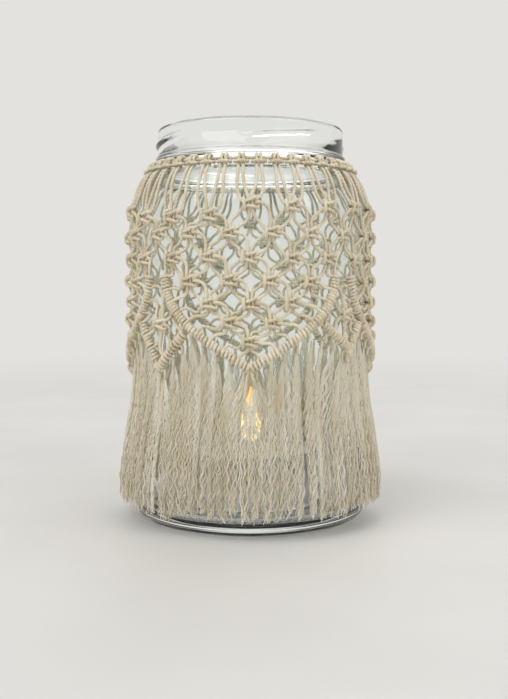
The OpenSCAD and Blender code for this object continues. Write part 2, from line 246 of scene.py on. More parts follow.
neck_low = bead_z + bead_thickness / 2
neck_top = jar_height - rim_round
neck_rings = 20
foot_inner_r = foot_r - foot_width
outer = [(0, base_recess), (foot_inner_r, base_recess), (foot_inner_r + foot_edge, foot_edge_z)]
outer += [(foot_inner_r + foot_run, 0), (foot_r - heel_run, 0)]
outer += arc((foot_r, heel_radius), heel_radius, heel_radius, -90, 0, 10)
outer += arc((neck_r, shoulder_z), body_r - neck_r, shoulder_height, 0, 90, 24)
outer += [(neck_r, bead_z - bead_thickness / 2)]
outer += arc((neck_r, bead_z), bead_projection, bead_thickness / 2, -80, 80, 8)
outer += [(neck_r, neck_low + (neck_top - neck_low) * i / neck_rings)
          for i in range(1, neck_rings)]
outer += arc((neck_r - rim_round, neck_top), rim_round, rim_round, 0, 180, 10)
inner_r = body_r - glass_wall
inner = arc((mouth_r, shoulder_z), inner_r - mouth_r, shoulder_height - glass_wall / 2, 90, 0, 20)
inner += [(inner_r, shoulder_z - wall_ring_step * i) for i in range(1, wall_rings + 1)]
inner += arc((inner_r - heel_radius, base_thickness + heel_radius),
             heel_radius, heel_radius, 0, -90, 10)
inner += [(0, base_thickness)]
jar = spin_profile("glass_jar_pressed", outer + inner, jar_steps)

# Lugs and stipples are raised on the spun wall, and the bore gets a pressed glass's slight wave
wave_size = 26 * MM
wall_play = 0.1
for v in jar.data.vertices:
    r = math.hypot(v.co.x, v.co.y) / MM
    z = v.co.z / MM
    if r < 1:
        continue
    theta = math.degrees(math.atan2(v.co.x, -v.co.y))
    if z > neck_low and r > neck_r - wall_play:
        push = lug_lift(theta, z)
    elif base_thickness < z < shoulder_z and r < inner_r + wall_play:
        push = bore_wave * noise.noise(v.co / wave_size)
    else:
        push = 0.0
    v.co.x *= (r + push) / r
    v.co.y *= (r + push) / r
    if z < 0.01:
        v.co.z += stipple_height * MM * max(0, math.cos(math.radians(theta) * stipples))

# Pressed soda-lime glass: clear, with the faint green that shows where it is thick
jar_material, tree = new_material("pressed_soda_lime_glass")
coords = add_node(tree, "ShaderNodeTexCoord")
ripple = add_node(tree, "ShaderNodeTexNoise", {"Scale": 60.0, "Detail": 2.0},
                  {"Vector": (coords, "Object")})
ripple_bump = add_node(tree, "ShaderNodeBump", {"Strength": 0.06, "Distance": 0.4 * MM},
                       {"Height": (ripple, "Fac")})
surface = add_node(tree, "ShaderNodeBsdfPrincipled",
                   {"Base Color": colour("#FAFDFB"), "Roughness": 0.02, "IOR": 1.52,
                    "Transmission Weight": 1.0},
                   {"Normal": (ripple_bump, "Normal")})
rays = add_node(tree, "ShaderNodeLightPath")
lit_through = add_node(tree, "ShaderNodeBsdfTransparent", {"Color": colour("#FAFDFB")})
glass = add_node(tree, "ShaderNodeMixShader", None,
                 {"Fac": (rays, "Is Shadow Ray"), 1: (surface, "BSDF"), 2: (lit_through, "BSDF")})
add_node(tree, "ShaderNodeOutputMaterial", None, {"Surface": (glass, "Shader")})
jar.data.materials.append(jar_material)
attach(jar, "lantern")
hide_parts("glass_jar")

# ------------------------------------------------------------------ Knotted cords
# Forty folded lengths of three-ply unbleached cotton cord, hung on the holding cord with
# lark's head knots. Their eighty ends are worked into rows of square knots, four ends to a
# knot, and then hitched onto two leaders that draw a heart on each quarter of the jar.
cord_d = 1.5
cord_play = 0.3
lie = cord_play + cord_d / 2
knot_lie = 1.95
knot_flattening = 0.8
# How far a knot may be turned (degrees), drawn up and moved across and up by the hand
knot_turn = 7
knot_slacks = (0.94, 1.05)
knot_shift = (0.35, 0.4)
link_fullness = 0.45
link_sag = 0.45
hearts = 4
heart_strands = 20
half_strands = heart_strands // 2
knot_cords = 4
strands = hearts * heart_strands
heart_angle = 360 / hearts
strand_pitch = heart_angle / heart_strands
pitch = strand_pitch * knot_cords
rows = 7
first_row_drop = 17.0
row_pitch_top = 10.3
row_pitch_bottom = 7.2
row_heights = [shoulder_top - first_row_drop]
for row in range(rows - 1):
    row_closing = (row_pitch_top - row_pitch_bottom) * row / (rows - 2)
    row_heights.append(row_heights[-1] - row_pitch_top + row_closing)
# Holding cord: how far off the neck and above the shoulder, in cord diameters
tie_off = 1.5
tie_up = 1.37
tie_r = neck_r + cord_play + tie_off * cord_d
tie_z = shoulder_top + tie_up * cord_d
# Ends between the lark's heads and the first row: height, and share of the way across
shoulder_bends = ((144.6, 0.04), (141.0, 0.12), (137.0, 0.42))
shoulder_spread = 0.9
# The first row hangs lower to the left of the front heart
sag_theta = -36.0
sag_reach = 34.0
sag_depth = 3.6
# Borders: radius of their ridge, and their places below the rows
ridge_size = 1.35
ridge_r = ridge_size * cord_d
ridge_lie = cord_play + ridge_r
ridge_clear = ridge_r + 0.6
turn_r = ridge_r - cord_d / 2
tip_z = row_heights[-1] - 10.5
border_side = 2.2 * pitch
border_bend_low = tip_z + 11
border_bend_high = tip_z + 19
border_top_z = row_heights[2] - 6.4
small_tip_z = row_heights[-1] - 7
small_start = 0.62
small_offset = (1.5, -2.6)
link_z = (row_heights[4] + row_heights[5]) / 2 - 1.5
# The knots beside the front heart are drawn up unevenly. For a heart and its side: where its
# small border starts on the big one, and how far its tip is moved round (degrees) and up
small_shapes = {(0, 1): (0.62, 3.5, 3.5), (1, -1): (0.62, -3.0, 1.0),
                (0, -1): (0.53, -0.6, -4.5), (3, 1): (0.62, -1.0, -1.3)}
link_moved = {0: (1.4, 0.9), 3: (2.0, -2.7)}
# Leaders' ends under a heart's tip: how far round they bend and hang, where they bend, and how
# far they hang down, first the one from the right side and then the other
tail_bend = 1.2
tail_end = 2.6
tail_bend_drop = 3.2
usual_tail_drops = (4.5, 6)
tail_drops = {0: (12, 7)}
# Places along one hitch as shares of its length, counted up from the tip: where its cord comes
# down, where its turns start and stop, and where it is let go or goes on to the small border
hitches = 9
feed_at = 0.9
turns_start = 0.92
turns_stop = 0.1
let_go_at = 0.2
let_go_drop = 3.0
go_on_at = 0.3
hitch_turns = 3.5
hitch_steps = 28
leader_steps = 24
# The leader of a small border is the big border's sixth cord, and the next three are hitched on
small_leader = 5
small_hitches = 3
small_leader_steps = 16
small_tail_bend = 0.8
ring_step = 0.55
lay_length = 4.6
span_steps = 8
LEFT, LEFT_CORE, RIGHT_CORE, RIGHT = range(knot_cords)
# Parts in the knot above a small border, for a strand's side of its heart and its number there
link_roles = {(1, 17): LEFT, (1, 18): LEFT_CORE, (-1, 18): RIGHT_CORE, (-1, 17): RIGHT}

# A cord's way round the holding cord, in cord diameters: across, up and out from it. It runs
# from the middle of the loop in front, round behind, over and down
head_way = ((0, -.9, 2.08), (.9, -.98, 1.95), (1.6, -1.05, 1.1), (1.45, -.95, 0), (1.0, -.7, -.8),
            (.62, .25, -1.02), (.52, 1.0, -.2), (.52, .6, .85), (.52, -.4, 1.05), (.52, -1.6, .75))

# Ways of the four cords through a square knot, in mm: across, up and out from its middle
knot_ways = {
    LEFT: [(-3.8, 2.3, -.2), (-3.2, 1.4, .1), (-2.6, .8, .8), (-1.5, .95, 1.4), (0, 1.2, 1.55),
           (1.6, 1.7, 1.3), (2.8, 2.1, .3), (3.0, 0, -.3), (2.8, -2.1, .3), (1.6, -1.6, 1.3),
           (0, -1.2, 1.55), (-1.5, -.95, 1.4), (-2.6, -1.0, .8), (-3.4, -1.5, .1), (-4.1, -2.3, -.2)],
    RIGHT: [(4.2, 2.2, .3), (3.3, 1.7, .9), (2.5, 1.0, .6), (1.6, .6, -.9), (0, .55, -1.5),
            (-1.6, 1, -1.2), (-2.4, 1.7, -.3), (-2.45, 2.1, .6), (-2.4, 1.5, 1.9), (-2.45, 0, 2.3),
            (-2.4, -1.5, 1.9), (-2.45, -2.1, .6), (-2.4, -1.7, -.3), (-1.6, -1, -1.2),
            (0, -.55, -1.5), (1.6, -.3, -.9), (2.3, 0, .4), (3.2, .1, .8), (4.2, -.3, .5)],
    LEFT_CORE: [(-.75, 2.7, 0), (-.75, 1.2, 0), (-.75, -1.2, 0), (-.75, -2.7, 0)],
    RIGHT_CORE: [(.75, 2.7, 0), (.75, 1.2, 0), (.75, -1.2, 0), (.75, -2.7, 0)],
}


def glass_r(z):
    """Outer radius of the jar at a height."""
    if z <= shoulder_z:
        return body_r
    if z >= shoulder_top:
        return neck_r
    return neck_r + (body_r - neck_r) * math.sqrt(1 - ((z - shoulder_z) / shoulder_height) ** 2)


def over(theta, z, lift):
    """A point over the glass: angle from the front, height, and lift off the glass."""
    slope = math.atan(glass_r(z - 0.5) - glass_r(z + 0.5))
    r = glass_r(z) + lift * math.cos(slope)
    turn = math.radians(theta)
    return Vector((r * math.sin(turn), -r * math.cos(turn), z + lift * math.sin(slope)))


def across(mm, z):
    """A distance along the glass as an angle round the jar."""
    return math.degrees(mm / (glass_r(z) + knot_lie))


def smooth_way(points, step):
    """Points at even steps along the smooth curve that runs through the given ones."""
    dense = []
    ends = [points[0] * 2 - points[1]] + points + [points[-1] * 2 - points[-2]]
    for a, b, c, d in zip(ends, ends[1:], ends[2:], ends[3:]):
        knots = [0.0]
        for p, q in ((a, b), (b, c), (c, d)):
            knots.append(knots[-1] + max(1e-3, (q - p).length) ** 0.5)
        t0, t1, t2, t3 = knots
        for i in range(span_steps):
            t = t1 + (t2 - t1) * i / span_steps
            ab = a * ((t1 - t) / (t1 - t0)) + b * ((t - t0) / (t1 - t0))
            bc = b * ((t2 - t) / (t2 - t1)) + c * ((t - t1) / (t2 - t1))
            cd = c * ((t3 - t) / (t3 - t2)) + d * ((t - t2) / (t3 - t2))
            abc = ab * ((t2 - t) / (t2 - t0)) + bc * ((t - t0) / (t2 - t0))
            bcd = bc * ((t3 - t) / (t3 - t1)) + cd * ((t - t1) / (t3 - t1))
            dense.append(abc * ((t2 - t) / (t2 - t1)) + bcd * ((t - t1) / (t2 - t1)))
    dense.append(points[-1])
    even, carried = [dense[0]], 0.0
    for p, q in zip(dense, dense[1:]):
        length = (q - p).length
        while length > 0 and carried + length >= step:
            p = p + (q - p) * ((step - carried) / length)
            even.append(p)
            length = (q - p).length
            carried = 0.0
        carried += length
    return even


def tubes(name, ways, section, lay, widths=None):
    """One mesh of tubes along smooth ways in mm. The section turns once in each lay length."""
    outline = bpy.data.curves.new("section", "CURVE")
    spline = outline.splines.new("POLY")
    spline.points.add(len(section) - 1)
    for point, (x, y) in zip(spline.points, section):
        point.co = (x * MM, y * MM, 0, 1)
    spline.use_cyclic_u = True
    outline_object = bpy.data.objects.new("section", outline)
    bpy.context.collection.objects.link(outline_object)
    curve = bpy.data.curves.new(name, "CURVE")
    curve.dimensions = "3D"
    curve.twist_mode = "MINIMUM"
    curve.bevel_mode = "OBJECT"
    curve.bevel_object = outline_object
    curve.use_fill_caps = True
    for way_number, way in enumerate(ways):
        spline = curve.splines.new("POLY")
        spline.points.add(len(way) - 1)
        travelled = 0.0
        for i, (point, place) in enumerate(zip(spline.points, way)):
            travelled += (place - way[i - 1]).length if i else 0
            point.co = (*(place * MM), 1)
            point.tilt = 2 * math.pi * travelled / lay if lay else 0
            point.radius = widths[way_number] if widths else 1
    holder = bpy.data.objects.new(name, curve)
    bpy.context.collection.objects.link(holder)
    bpy.context.view_layer.update()
    made = holder.evaluated_get(bpy.context.evaluated_depsgraph_get())
    mesh = bpy.data.meshes.new_from_object(made)
    mesh.name = name
    for spare in (holder, outline_object):
        bpy.data.objects.remove(spare)
    for spare in (curve, outline):
        bpy.data.curves.remove(spare)
    mesh.shade_smooth()
    piece = bpy.data.objects.new(name, mesh)
    bpy.context.collection.objects.link(piece)
    return piece


def three_plies(diameter):
    """Section of a cord laid up from three plies: three lobes with a groove between each two."""
    share = (1.0, 0.89, 0.64, 0.89)
    return [(diameter / 2 * share[i % 4] * math.cos(i * math.pi / 6),
             diameter / 2 * share[i % 4] * math.sin(i * math.pi / 6)) for i in range(12)]


def bezier_weights(t):
    """Weights of the four corners of a cubic curve at t, from 0 to 1."""
    return (1 - t) ** 3, 3 * t * (1 - t) ** 2, 3 * t * t * (1 - t), t ** 3


def border_at(t):
    """Centre line of a heart's border: angle and height, from the tip at 0 to the top at 1."""
    corners = ((0, tip_z), (pitch, border_bend_low), (border_side, border_bend_high),
               (border_side, border_top_z))
    return Vector([sum(w * corner[i] for w, corner in zip(bezier_weights(t), corners))
                   for i in (0, 1)])


def small_border(heart, side):
    """Centre line of a small border, from the big border at 0 to its tip between two hearts."""
    start_at, round_jar, up = small_shapes.get((heart, side), (small_start, 0, 0))
    start = border_at(start_at) + Vector(small_offset)
    tip = Vector((heart_angle / 2 + round_jar, small_tip_z + up))
    return lambda t: start + (tip - start) * t


def beside(line, t, middle, side, off, lift=ridge_lie):
    """A point beside a border. A positive distance lies above it and a negative one below."""
    here, ahead = line(t), line(t + 0.01)
    run = Vector(((ahead[0] - here[0]) * math.pi / 180 * body_r, ahead[1] - here[1]))
    normal = Vector((-run[1], run[0])).normalized() * off
    theta = here[0] + math.degrees(normal[0] / body_r)
    return over(middle + side * theta, here[1] + normal[1], lift)


def hitch_way(line, start, stop, middle, side):
    """Turns of a cord hitched round a leader, from the upper side to the lower one."""
    way = []
    for i in range(hitch_steps + 1):
        t = start + (stop - start) * i / hitch_steps
        centre = beside(line, t, middle, side, 0)
        up = (beside(line, t, middle, side, 1) - centre).normalized()
        out = Vector((centre.x, centre.y, 0)).normalized()
        turn = 2 * math.pi * hitch_turns * i / hitch_steps
        way.append(centre + (up * math.cos(turn) + out * math.sin(turn)) * turn_r)
    return way


def let_go(line, t, middle, side):
    """End of a cord under a border: out from below its last turn and straight down."""
    below = beside(line, t, middle, side, -ridge_r - 0.2, lie + 0.5)
    theta = math.degrees(math.atan2(below.x, -below.y))
    return [below, over(theta, below.z - let_go_drop, lie)]


def row_sag(row, theta):
    """The first row hangs lower on the left of the front heart, where it was pulled down."""
    if row > 0:
        return 0.0
    near = 1 - abs((theta - sag_theta + 180) % 360 - 180) / sag_reach
    return -sag_depth * max(0, min(1, 2 * near))


def knot_way(role, key, theta, z):
    """A cord's way through one square knot. Each knot is drawn up a little differently."""
    hand = random.Random(key)
    turn = math.radians(hand.uniform(-knot_turn, knot_turn))
    slack = hand.uniform(*knot_slacks)
    shift = [hand.uniform(-most, most) for most in knot_shift]
    way = []
    for u, v, w in knot_ways[role]:
        x = (u * math.cos(turn) - v * math.sin(turn)) * slack + shift[0]
        y = (u * math.sin(turn) + v * math.cos(turn)) * slack + shift[1]
        way.append(over(theta + across(x, z), z + y, knot_lie + w * knot_flattening))
    return way


def link(before, start, stop, after):
    """Points of a cord between two knots. It leaves and enters them along their own cords, so
    that it bows into the side of a petal, and it dips a little towards the glass."""
    reach = link_fullness * (stop - start).length
    leave = start + (start - before).normalized() * reach
    enter = stop - (after - stop).normalized() * reach
    way = []
    for t in (0.2, 0.4, 0.6, 0.8):
        corners = (start, leave, enter, stop)
        place = sum((w * corner for w, corner in zip(bezier_weights(t), corners)), Vector())
        inward = Vector((place.x, place.y, 0)).normalized()
        way.append(place - inward * link_sag * 4 * t * (1 - t))
    return way


def place_of(strand):
    """A strand's heart, its side of that heart, and its number there as if on the right."""
    heart, own = divmod(strand, heart_strands)
    if own < half_strands:
        return heart, -1, heart_strands - 1 - own
    return heart, 1, own


def last_row(mirrored):
    """Last row of square knots that a strand is worked into, counted from 0."""
    return rows - 1 - (mirrored - half_strands) // 2


def strand_way(strand):
    """One end of a folded cord, from its lark's head down to where it is combed out."""
    heart, side, mirrored = place_of(strand)
    middle = heart * heart_angle
    half = 1 if strand % 2 else -1
    head_theta = (strand // 2 + 0.5) * 2 * strand_pitch - heart_angle / 2
    way = []
    # Lark's head
    for u, v, w in head_way:
        r = tie_r + w * cord_d
        turn = math.radians(head_theta + half * math.degrees(u * cord_d / tie_r))
        way.append(Vector((r * math.sin(turn), -r * math.cos(turn), tie_z + v * cord_d)))
    # Square knots
    for row in range(last_row(mirrored) + 1):
        offset = knot_cords // 2 * (row % 2)
        base = (strand - offset) // knot_cords * knot_cords + offset
        role = strand - base
        knot_middle = base + (knot_cords - 1) / 2
        theta = (knot_middle - (heart_strands - 1) / 2) / knot_cords * pitch
        z = row_heights[row] + row_sag(row, theta)
        key = f"{row} {base % strands}"
        knot = knot_way(role, key, theta, z)
        if row == 0:
            tail_theta = head_theta + half * math.degrees(head_way[-1][0] * cord_d / tie_r)
            entry = theta + across(knot_ways[role][0][0], z)
            spread = {LEFT: -shoulder_spread, RIGHT: shoulder_spread}.get(role, 0)
            for height, share in shoulder_bends:
                at = tail_theta + (entry - tail_theta) * share + spread * 4 * share * (1 - share)
                way.append(over(at, height + (z - row_heights[0]) * share, lie + 0.25))
        else:
            way += link(way[-2], way[-1], knot[0], knot[1])
        way += knot
    # Leader of the big border: the two of a heart cross at its tip, the left one on top
    hitch = mirrored - half_strands
    if hitch == hitches:
        way += [beside(border_at, t / leader_steps, middle, side, 0)
                for t in range(leader_steps + 1, -1, -1)]
        on_top = 0.8 if side < 0 else -0.4
        way.append(over(middle - side * tail_bend, tip_z - tail_bend_drop, ridge_lie + on_top))
        drop = tail_drops.get(heart, usual_tail_drops)[0 if side > 0 else 1]
        way.append(over(middle - side * tail_end, tip_z - drop, lie + 0.3))
        return way
    # Hitched on the big border
    feed = (hitch + feed_at) / hitches
    above = beside(border_at, feed, middle, side, ridge_clear)
    way += link(way[-2], way[-1], above, beside(border_at, feed, middle, side, 0))
    way.append(above)
    way += hitch_way(border_at, (hitch + turns_start) / hitches, (hitch + turns_stop) / hitches,
                     middle, side)
    if hitch < small_leader:
        return way + let_go(border_at, (hitch + let_go_at) / hitches, middle, side)
    # Leader of the small border
    small_at = small_border(heart, side)
    if hitch == small_leader:
        way += [beside(small_at, t / small_leader_steps, middle, side, 0)
                for t in range(1, small_leader_steps + 1)]
        tip = small_at(1)
        end_theta = middle + side * (tip[0] - small_tail_bend)
        way.append(over(end_theta, tip[1] - let_go_drop, ridge_lie))
        return way
    # Hitched on the small border, two of the three by way of the knot above it
    go_on = (hitch + go_on_at) / hitches
    inside = beside(border_at, go_on, middle, side, 0)
    below = beside(border_at, go_on, middle, side, -ridge_clear, lie)
    way.append(below)
    place = hitch - small_leader - 1
    if place > 0:
        gap = (heart if side > 0 else heart - 1) % hearts
        moved = link_moved.get(gap, (0, 0))
        theta = middle + side * heart_angle / 2 + moved[0]
        knot = knot_way(link_roles[side, mirrored], f"link {gap}", theta, link_z + moved[1])
        way += link(inside, below, knot[0], knot[1]) + knot
        inside, below = knot[-2:]
    feed = (place + 1 - feed_at) / small_hitches
    above = beside(small_at, feed, middle, side, ridge_clear)
    way += link(inside, below, above, beside(small_at, feed, middle, side, 0))
    way.append(above)
    way += hitch_way(small_at, (place + 1 - turns_start) / small_hitches,
                     (place + 1 - turns_stop) / small_hitches, middle, side)
    return way + let_go(small_at, (place + 1 - let_go_at) / small_hitches, middle, side)


# Unbleached three-ply cotton: matt and warm, mottled along each ply, with a soft sheen of fibre
cord_material, tree = new_material("unbleached_cotton_cord")
coords = add_node(tree, "ShaderNodeTexCoord")
mottle = add_node(tree, "ShaderNodeTexNoise", {"Scale": 1 / (7 * MM), "Detail": 4.0},
                  {"Vector": (coords, "Object")})
shades = add_node(tree, "ShaderNodeValToRGB", None, {"Fac": (mottle, "Fac")})
stops(shades, (0.3, colour("#DACDAF")), (0.7, colour("#F0E7D1")))
fibre = add_node(tree, "ShaderNodeTexNoise", {"Scale": 1 / (0.28 * MM), "Detail": 3.0},
                 {"Vector": (coords, "Object")})
fibre_bump = add_node(tree, "ShaderNodeBump", {"Strength": 0.55, "Distance": 0.08 * MM},
                      {"Height": (fibre, "Fac")})
surface = add_node(tree, "ShaderNodeBsdfPrincipled",
                   {"Roughness": 0.88, "IOR": 1.46, "Sheen Weight": 0.25, "Subsurface Weight": 0.08,
                    "Subsurface Scale": 0.6 * MM},
                   {"Base Color": (shades, "Color"), "Normal": (fibre_bump, "Normal")})
add_node(tree, "ShaderNodeOutputMaterial", None, {"Surface": (surface, "BSDF")})

strand_ways = [strand_way(i) for i in range(strands)]
quarters = ("front", "right", "back", "left")
shared_nodes = ["larks_head_knots", "shoulder_cords", "link_knots", "border_feed_cords",
                "link_knot_cords", "small_borders"]
shared_nodes += [f"square_knots_row_{i}" for i in range(1, rows + 1)]
shared_nodes += [f"net_cords_row_{i}" for i in range(1, rows)]
for number, quarter in enumerate(quarters):
    ways = []
    for first in range(number * heart_strands, (number + 1) * heart_strands, 2):
        folded = strand_ways[first][:0:-1] + strand_ways[first + 1]
        ways.append(smooth_way(folded, ring_step))
    net = tubes(f"knotted_cords_{quarter}", ways, three_plies(cord_d), lay_length)
    net.data.materials.append(cord_material)
    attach(net, "lantern")
    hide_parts(f"heart_border_{quarter}", *shared_nodes)

# ------------------------------------------------------------------ Holding cord
# One length of the same cord, tied tight round the neck below the bead. It carries the
# whole cover, and the pull of the lark's heads keeps it in place.
turn_steps = 480
round_neck = [2 * math.pi * i / turn_steps for i in range(turn_steps + 1)]
holding_turn = [Vector((tie_r * math.sin(a), -tie_r * math.cos(a), tie_z)) for a in round_neck]
holding = tubes("holding_cord_twisted", [holding_turn], three_plies(cord_d), lay_length)
holding.data.materials.append(cord_material)
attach(holding, "lantern")
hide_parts("holding_cord")

# ------------------------------------------------------------------ Fringe
# The eighty cord ends, unlaid and combed out below the borders. The yarns keep the crimp of
# the cord's lay, and hang a little clear of the glass down to a hem cut by hand.
hem_height = 10.0
# Yarns of one cord's end, the tufts that they join at the hem, and how ragged the hem is
yarns = 28
tufts = 3
yarn_d = 0.36
yarn_widths = (0.6, 1.15)
yarn_step = 1.4
fan_width = 2.6
fan_length = 9.0
tuft_length = 16.0
hem_cut = 1.2
lock_ragged = 0.9
tuft_ragged = 1.1
yarn_ragged = 1.9
# Crimp left by the lay of the cord: its swing and its length, and how far a yarn drifts
crimp_swings = (0.3, 0.75)
crimp_lengths = (5.8, 7.6)
yarn_drift = 0.8
# A yarn starts inside the end of its cord, is soon at its place round the jar, and is drawn
# towards its tuft. It keeps clear of the glass and inside the fringe's outside
yarn_overlap = 0.8
spread_speed = 2.2
tuft_pull = 0.7
skirt_inset = 0.3
inner_clear = 0.9
inner_share = 0.75
crimp_depth = 0.4
glass_clear = 0.35
# Outside of the fringe: heights and radii
fringe_skirt = ((64.7, 50.9), (49.6, 52.3), (41.8, 53.9), (34.0, 55.1), (26.3, 56.4),
                (18.5, 57.4), (8.0, 57.3))
# Places where yarns gather into denser locks: angle and strength
dense_places = ((-44, 0.6), (30.5, 0.8), (58, 0.8), (104, 0.7), (151, 0.6), (197, 0.8),
                (238, 0.6), (283, 0.7))
gather_reach = 8.0
# How well a cord's end is combed out: the rest are all combed
combing = {4: 0.12, 13: 0.6, 14: 0.4, 16: 0.4, 27: 0.5, 41: 0.5, 52: 0.4, 66: 0.5, 75: 0.6}
# Order in which the strands hang at the hem, counted from the middle of their heart
hem_order = {19: 0, 10: 1, 11: 2, 12: 3, 13: 4, 14: 5, 16: 6, 17: 7, 18: 8, 15: 9}
# One generator for the whole fringe, so that every run draws the same yarns
hand = random.Random(21)


def skirt_r(z):
    """Outer radius of the fringe at a height."""
    if z >= fringe_skirt[0][0]:
        return fringe_skirt[0][1] + 0.02 * (z - fringe_skirt[0][0])
    for (z1, r1), (z2, r2) in zip(fringe_skirt, fringe_skirt[1:]):
        if z >= z2:
            return r1 + (r2 - r1) * (z1 - z) / (z1 - z2)
    return fringe_skirt[-1][1]


def gathered(theta):
    """Combed-out yarns draw together into denser locks at a few places."""
    for place, strength in dense_places:
        away = (theta - place + 180) % 360 - 180
        if abs(away) < gather_reach:
            return theta - away * strength * (1 - abs(away) / gather_reach)
    return theta


def hem_place(strand):
    """Angle at which a cord's end hangs at the hem. The leaders' ends hang at the tips."""
    heart, side, mirrored = place_of(strand)
    return heart * heart_angle + side * (hem_order[mirrored] + 0.5) * strand_pitch


def yarn_way(top, theta, lock_phase, tuft_at, tuft_stop, combed):
    """One crimped yarn from the end of its cord to the tuft that it joins at the hem."""
    top_theta = math.degrees(math.atan2(top.x, -top.y))
    away = (theta - top_theta + 180) % 360 - 180
    stop = tuft_stop + abs(hand.gauss(0, yarn_ragged))
    fan = hand.uniform(-fan_width, fan_width) * combed
    depth = hand.random() * combed
    amplitude = hand.uniform(*crimp_swings)
    wave = hand.uniform(*crimp_lengths)
    phase = lock_phase + hand.choice((0, 2.1, 4.2)) + hand.uniform(-0.5, 0.5)
    drift = hand.uniform(-yarn_drift, yarn_drift)
    way = []
    count = max(6, round((top.z - stop) / yarn_step))
    for i in range(count + 1):
        share = i / count
        z = top.z + yarn_overlap + (stop - top.z - yarn_overlap) * share
        spread = min(1, share * spread_speed)
        fanned = min(1, (top.z + yarn_overlap - z) / fan_length) ** 0.6
        drawn = max(0, 1 - (z - stop) / tuft_length) ** 1.5
        turn = phase + 2 * math.pi * (top.z - z) / wave
        swing = amplitude * min(1, share * 6)
        beside_lock = fan * fanned + (tuft_at - fan) * drawn * tuft_pull
        at = gathered(top_theta + away * spread + beside_lock) + drift * math.sin(math.pi * share)
        at += math.degrees(swing * math.cos(turn) / body_r)
        thickness = skirt_r(z) - body_r - inner_clear
        r = skirt_r(z) - skirt_inset - thickness * inner_share * depth * share
        r = max(r + crimp_depth * swing * math.sin(turn), body_r + glass_clear)
        way.append(Vector((r * math.sin(math.radians(at)), -r * math.cos(math.radians(at)), z)))
    return way


yarn_section = [(yarn_d / 2 * math.cos(a), yarn_d / 2 * math.sin(a)) for a in (0, 2.094, 4.189)]

# Loose cotton yarn: matt, and paler than the cord. Light goes in between its loose fibres, and its
# colour is also painted lighter than the cord's, to make up for the shade that falls between the close
# yarns
fringe_material, tree = new_material("combed_unbleached_cotton")
coords = add_node(tree, "ShaderNodeTexCoord")
# Yarn tone changes from lock to lock, across about 5 mm, and stays the same down a yarn
stretch = add_node(tree, "ShaderNodeMapping", {"Scale": (1, 1, 0.06)}, {"Vector": (coords, "Object")})
tone = add_node(tree, "ShaderNodeTexNoise", {"Scale": 1 / (4 * MM), "Detail": 3.0},
                {"Vector": (stretch, "Vector")})
shades = add_node(tree, "ShaderNodeValToRGB", None, {"Fac": (tone, "Fac")})
# Both shades are painted lighter than the same cotton's cord colours, to make up for the shade between
# the yarns
stops(shades, (0.32, colour("#E6D9BC")), (0.68, colour("#F8F1E0")))
surface = add_node(tree, "ShaderNodeBsdfPrincipled",
                   {"Roughness": 0.85, "IOR": 1.46, "Sheen Weight": 0.3, "Subsurface Weight": 0.1,
                    "Subsurface Scale": 0.5 * MM},
                   {"Base Color": (shades, "Color")})
add_node(tree, "ShaderNodeOutputMaterial", None, {"Surface": (surface, "BSDF")})
for number, quarter in enumerate(quarters):
    ways, widths = [], []
    for strand in range(number * heart_strands, (number + 1) * heart_strands):
        lock_theta = hem_place(strand)
        lock_phase = hand.uniform(0, 2 * math.pi)
        lock_stop = hem_height - hem_cut + hand.gauss(0, lock_ragged)
        tuft_stops = [lock_stop + hand.gauss(0, tuft_ragged) for _ in range(tufts)]
        for i in range(yarns):
            tuft = i % tufts
            combed = combing.get(strand, 1)
            tuft_at = (tuft - (tufts - 1) / 2) * strand_pitch / tufts * combed
            ways.append(yarn_way(strand_ways[strand][-1], lock_theta, lock_phase, tuft_at,
                                 tuft_stops[tuft], combed))
            widths.append(hand.uniform(*yarn_widths))
    fringe = tubes(f"combed_fringe_{quarter}", ways, yarn_section, 0, widths)
    fringe.data.materials.append(fringe_material)
    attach(fringe, "lantern")
    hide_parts(f"fringe_{quarter}")

# ------------------------------------------------------------------ Candle
# A large tealight: a drawn aluminium foil cup, paraffin wax with a pool melted round the
# wick, and a braided cotton wick in a sheet steel holder. It stands loose on the jar's bottom.
cup_low, cup_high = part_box("candle_cup")
wax_low, wax_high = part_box("candle_wax")
wick_low, wick_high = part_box("candle_wick")
cup_off_wax = 0.45
cup_rim_r = cup_high.x / MM
cup_r = wax_high.x / MM + cup_off_wax
cup_foot = cup_low.z / MM
cup_top = cup_high.z / MM
cup_wall = 0.4
cup_corner = 1.2
rolled_r = 0.48
ribs = 72
rib_depth = 0.09
cup = spin_profile("aluminium_cup",
                   [(0, cup_foot), (cup_r - cup_corner, cup_foot)]
                   + arc((cup_r - cup_corner, cup_foot + cup_corner), cup_corner, cup_corner, -90, 0, 5)
                   + [(cup_r, cup_foot + (cup_top - cup_foot - 3) * i / 4) for i in range(1, 5)]
                   + arc((cup_rim_r - rolled_r, cup_top - rolled_r), rolled_r, rolled_r, -40, 180, 10)
                   + [(cup_r - cup_wall, cup_top - 2), (cup_r - cup_wall, cup_foot + 1.4),
                      (cup_r - 1.4, cup_foot + cup_wall), (0, cup_foot + cup_wall)], ribs * 4)
for v in cup.data.vertices:
    r = math.hypot(v.co.x, v.co.y) / MM
    if r > cup_r - 0.05 and cup_foot + 1.5 < v.co.z / MM < cup_top - 2:
        groove = rib_depth * (math.cos(math.atan2(v.co.y, v.co.x) * ribs) - 1)
        v.co.x *= (r + groove) / r
        v.co.y *= (r + groove) / r

